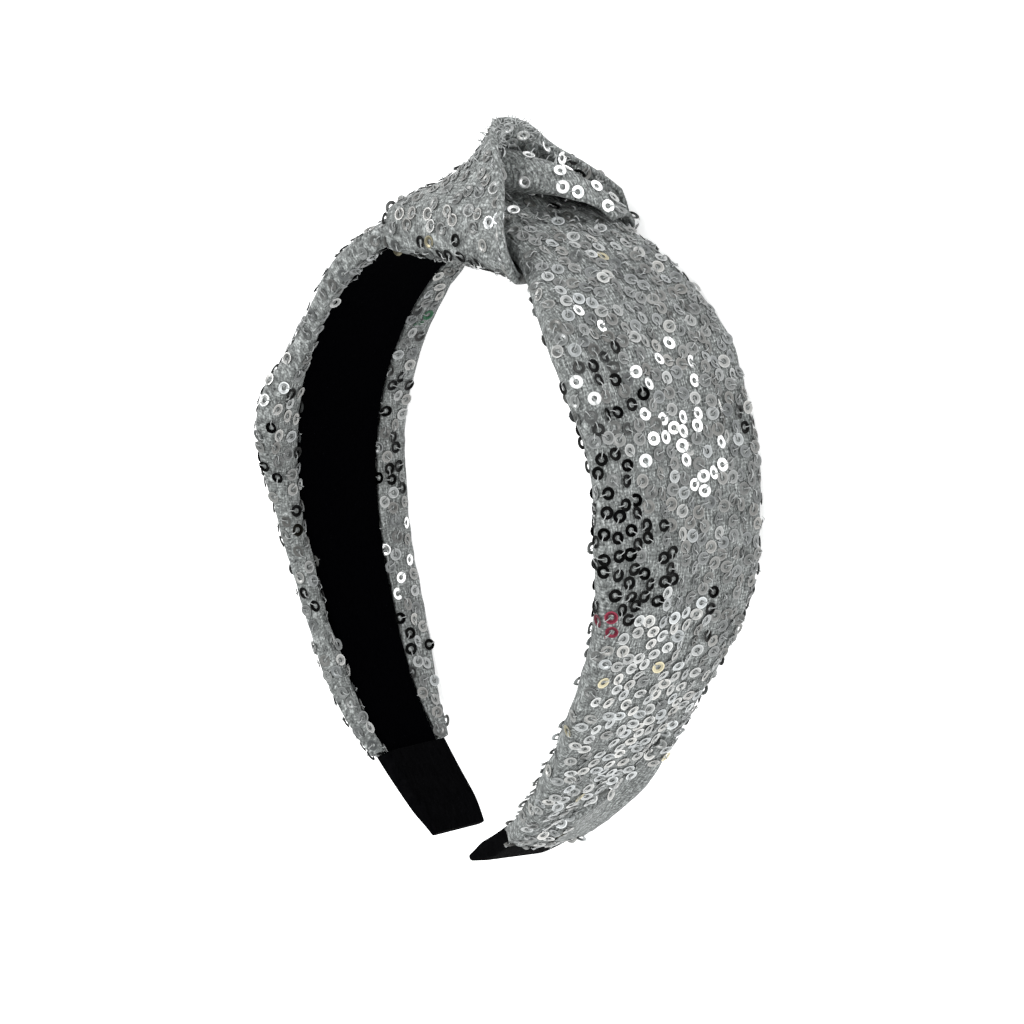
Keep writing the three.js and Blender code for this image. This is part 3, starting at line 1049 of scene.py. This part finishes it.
@dataclass
class Headband:
    """The whole headband: its cloth, its band and what is sewn on."""

    # Painted reflection: dark and bright sequins on the near leg, placed where the metal film
    # would mirror dark or bright surroundings; one patch also carries a red tint.
    near_reflections: tuple = (
        Patch((56.0, 10.0, 12.0), 26.0, 0.8, PaintedReflection.HAZE),
        Patch((40.0, 50.0, 22.0), 22.0, 0.5, PaintedReflection.HAZE),
        Patch((38.0, 52.0, 39.0), 12.0, 0.3, PaintedReflection.WHITE),
        Patch((44.0, 44.5, 41.0), 13.0, 0.6, PaintedReflection.SMOKE),
        Patch((45.0, 45.4, 20.0), 10.0, 0.35, PaintedReflection.WHITE),
        Patch((51.0, 35.0, 22.0), 12.0, 0.5, PaintedReflection.WHITE),
        Patch((57.7, 13.0, 42.0), 14.0, 0.95, PaintedReflection.BLACK),
        Patch((52.5, 26.0, 43.0), 11.0, 0.75, PaintedReflection.BLACK),
        Patch((59.4, 4.0, 38.0), 10.0, 0.85, PaintedReflection.BLACK),
        Patch((43.0, 46.0, 40.0), 10.0, 0.3, PaintedReflection.BLACK),
        Patch((59.0, -7.0, 30.0), 14.0, 0.85, PaintedReflection.SILVER),
        Patch((55.0, -22.0, 28.0), 18.0, 0.9, PaintedReflection.SILVER),
        Patch((45.0, -44.0, 24.0), 18.0, 0.9, PaintedReflection.SILVER),
        Patch((38.0, -56.0, 24.0), 12.0, 0.8, PaintedReflection.SILVER),
        Patch((57.2, -0.3, 43.4), 3.2, 1.0, PaintedReflection.SMOKE, (1.5, 0.25, 0.4)),
        Patch((61.2, 2.3, 17.2), 2.4, 1.0, PaintedReflection.BLACK),
        Patch((60.8, -4.7, 17.3), 2.4, 1.0, PaintedReflection.BLACK),
        Patch((49.4, 36.1, 3.5), 3.0, 1.0, PaintedReflection.BLACK),
    )
    near_sparse: tuple = (
        Patch((35.0, -61.0, 9.0), 13.0, 1.4),
        Patch((44.0, -49.0, 6.0), 10.5, 1.2),
        Patch((12.0, 66.0, 15.0), 9.0, 0.6),
        Patch((60.1, 12.1, 22.0), 9.0, 0.5),
        Patch((40.0, -54.0, 8.0), 9.0, 1.2),
    )
    # Painted reflection: dark and bright sequins on the far leg, placed where the metal film
    # would mirror dark or bright surroundings; one patch also carries a green tint.
    far_reflections: tuple = (
        Patch((-40.0, 40.0, 38.0), 30.0, 0.7, PaintedReflection.HAZE),
        Patch((-50.5, -8.0, 5.0), 20.0, 0.65, PaintedReflection.BLACK),
        Patch((-44.0, -33.9, 5.0), 9.0, 0.6, PaintedReflection.WHITE),
        Patch((-38.0, -46.0, 5.0), 10.0, 0.4, PaintedReflection.BLACK),
        Patch((-50.5, -4.0, 39.0), 22.0, 0.35, PaintedReflection.BLACK),
        Patch((-40.0, -37.0, 32.0), 8.0, 0.4, PaintedReflection.BLACK),
        Patch((-49.5, 21.0, 4.0), 8.0, 0.4, PaintedReflection.SMOKE),
        Patch((-49.1, 23.0, 3.0), 3.2, 1.0, PaintedReflection.SMOKE, (0.4, 1.3, 0.7)),
    )
    far_sparse: tuple = (
        Patch((-38.0, 42.0, 38.0), 22.0, 0.75),
        Patch((-52.0, 8.0, 40.0), 18.0, 0.6),
        Patch((-47.0, -26.0, 36.0), 18.0, 0.45),
        Patch((-36.0, -50.0, 31.0), 18.0, 0.35),
    )
    # Painted reflection: lighter sequins that brighten the cloth in the shaded recess, with a
    # few dark ones.
    tucked_reflections: tuple = (
        Patch((2.0, 70.0, 24.0), 16.0, 0.6, PaintedReflection.WHITE),
        Patch((0.0, 70.0, 20.0), 14.0, 0.25, PaintedReflection.BLACK),
    )
    # Painted reflection: bright and dark sequins over the knot, placed where the metal film
    # would mirror bright or dark surroundings.
    knot_reflections: tuple = (
        Patch((-2.0, 78.0, 18.0), 14.0, 0.8, PaintedReflection.WHITE),
        Patch((-4.0, 79.0, 17.0), 9.0, 0.35, PaintedReflection.BLACK),
        Patch((8.0, 72.0, 20.0), 10.0, 0.7, PaintedReflection.WHITE),
        Patch((10.0, 71.0, 17.0), 8.0, 0.4, PaintedReflection.BLACK),
        Patch((-13.0, 56.5, 41.5), 5.0, 0.9, PaintedReflection.BLACK),
        Patch((-4.0, 57.5, 42.0), 6.0, 0.95, PaintedReflection.BLACK),
        Patch((4.0, 59.5, 42.0), 6.0, 0.95, PaintedReflection.BLACK),
        Patch((6.0, 72.0, 38.0), 6.0, 0.3, PaintedReflection.SILVER),
        Patch((10.0, 65.0, 40.0), 6.0, 0.5, PaintedReflection.SILVER),
    )

    def build(self, frame: dict) -> None:
        """Builds every piece in order.

        Args:
            frame: The loaded frame.
        """
        strands = strand_group()
        knit = KNIT.material(strands)
        velvet = VELVET.material(strands)
        sleeve = SLEEVE_CLOTH.material(strands)
        film = SequinFinish().material()
        thread = THREAD.material(strands)
        cloths = {
            name: Refined(node, name, Slot.CLOTH, wrinkle_mm=wrinkle, crease=crease).build(
                frame, knit
            )
            for node, name, wrinkle, crease in (
                ("near_leg_cover", "near_leg_cloth", 0.7, LEG_CREASE),
                ("far_leg_cover", "far_leg_cloth", 0.7, ()),
                ("knot_wrap", "wrap_cloth", 0.4, ()),
                ("knot_fold", "fold_cloth", 0.4, ()),
            )
        }
        band = Refined("lined_band", "velvet_lined_band", Slot.LINING, long_edge_mm=8.0)
        solids = [*cloths.values(), band.build(frame, velvet)]
        for side in ("near", "far"):
            sock = Refined(
                f"{side}_tip_sleeve", f"{side}_sleeve_cloth", Slot.SLEEVE, long_edge_mm=7.0
            )
            solids.append(sock.build(frame, sleeve))
        trim = KnotTrim()
        trim.hem(frame["nodes"]["knot_wrap"], knit)
        tucked = trim.tucked(knit)
        trim.fuzz([cloths["wrap_cloth"], cloths["fold_cloth"]], thread)
        open_air = self._joined_tree([*solids, tucked])
        tucked_field = SequinField("tucked_sequins", tucked, 2.7, 15, PaintedReflection.SILVER,
                                   self.tucked_reflections, clear_mm=1.0)
        tucked_field.stitches(tucked_field.build(open_air, film)[1], thread)
        for field, flat, held in self._sheet_fields(cloths):
            sequins, seats = field.build(open_air, film)
            stitches = field.stitches(seats, thread)

    def _sheet_fields(self, cloths: dict[str, Piece]) -> list[tuple]:
        """Lists the sequins of each sheet of cloth.

        Args:
            cloths: The cloths by name.

        Returns:
            Each field with its sheet's flat size in metres and how the sheet is held.
        """
        near = SequinField("near_leg_sequins", cloths["near_leg_cloth"], 2.5, 11, PaintedReflection.GREY,
                           self.near_reflections, self.near_sparse, bare_edge=0.6)
        far = SequinField("far_leg_sequins", cloths["far_leg_cloth"], 2.65, 12, PaintedReflection.GREY,
                          self.far_reflections, self.far_sparse)
        wrap = SequinField("wrap_sequins", cloths["wrap_cloth"], 2.6, 13, PaintedReflection.HAZE,
                           self.knot_reflections, clear_mm=2.2)
        fold = SequinField("fold_sequins", cloths["fold_cloth"], 2.9, 14, PaintedReflection.GREY,
                           self.knot_reflections, clear_mm=2.2)
        return [
            (near, (0.062, 0.155), "gathered"),
            (far, (0.059, 0.149), "gathered"),
            (wrap, (0.1, 0.0355), "gathered"),
            (fold, (0.03, 0.018), "folded"),
        ]

    def _joined_tree(self, solids: list[Piece]) -> BVHTree:
        """Puts all the solid pieces into one tree for ray casts.

        Args:
            solids: The pieces.

        Returns:
            The tree.
        """
        points: list[Vector] = []
        faces: list[list[int]] = []
        for piece in solids:
            first = len(points)
            points.extend(v.co.copy() for v in piece.data.vertices)
            faces.extend([first + i for i in p.vertices] for p in piece.data.polygons)
        return BVHTree.FromPolygons(points, faces)


def main() -> None:
    """Builds the scene round the frame."""
    logging.basicConfig(level=logging.INFO)
    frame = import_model()
    Studio().build()
    Headband().build(frame)


if __name__ == "__main__":
    main()
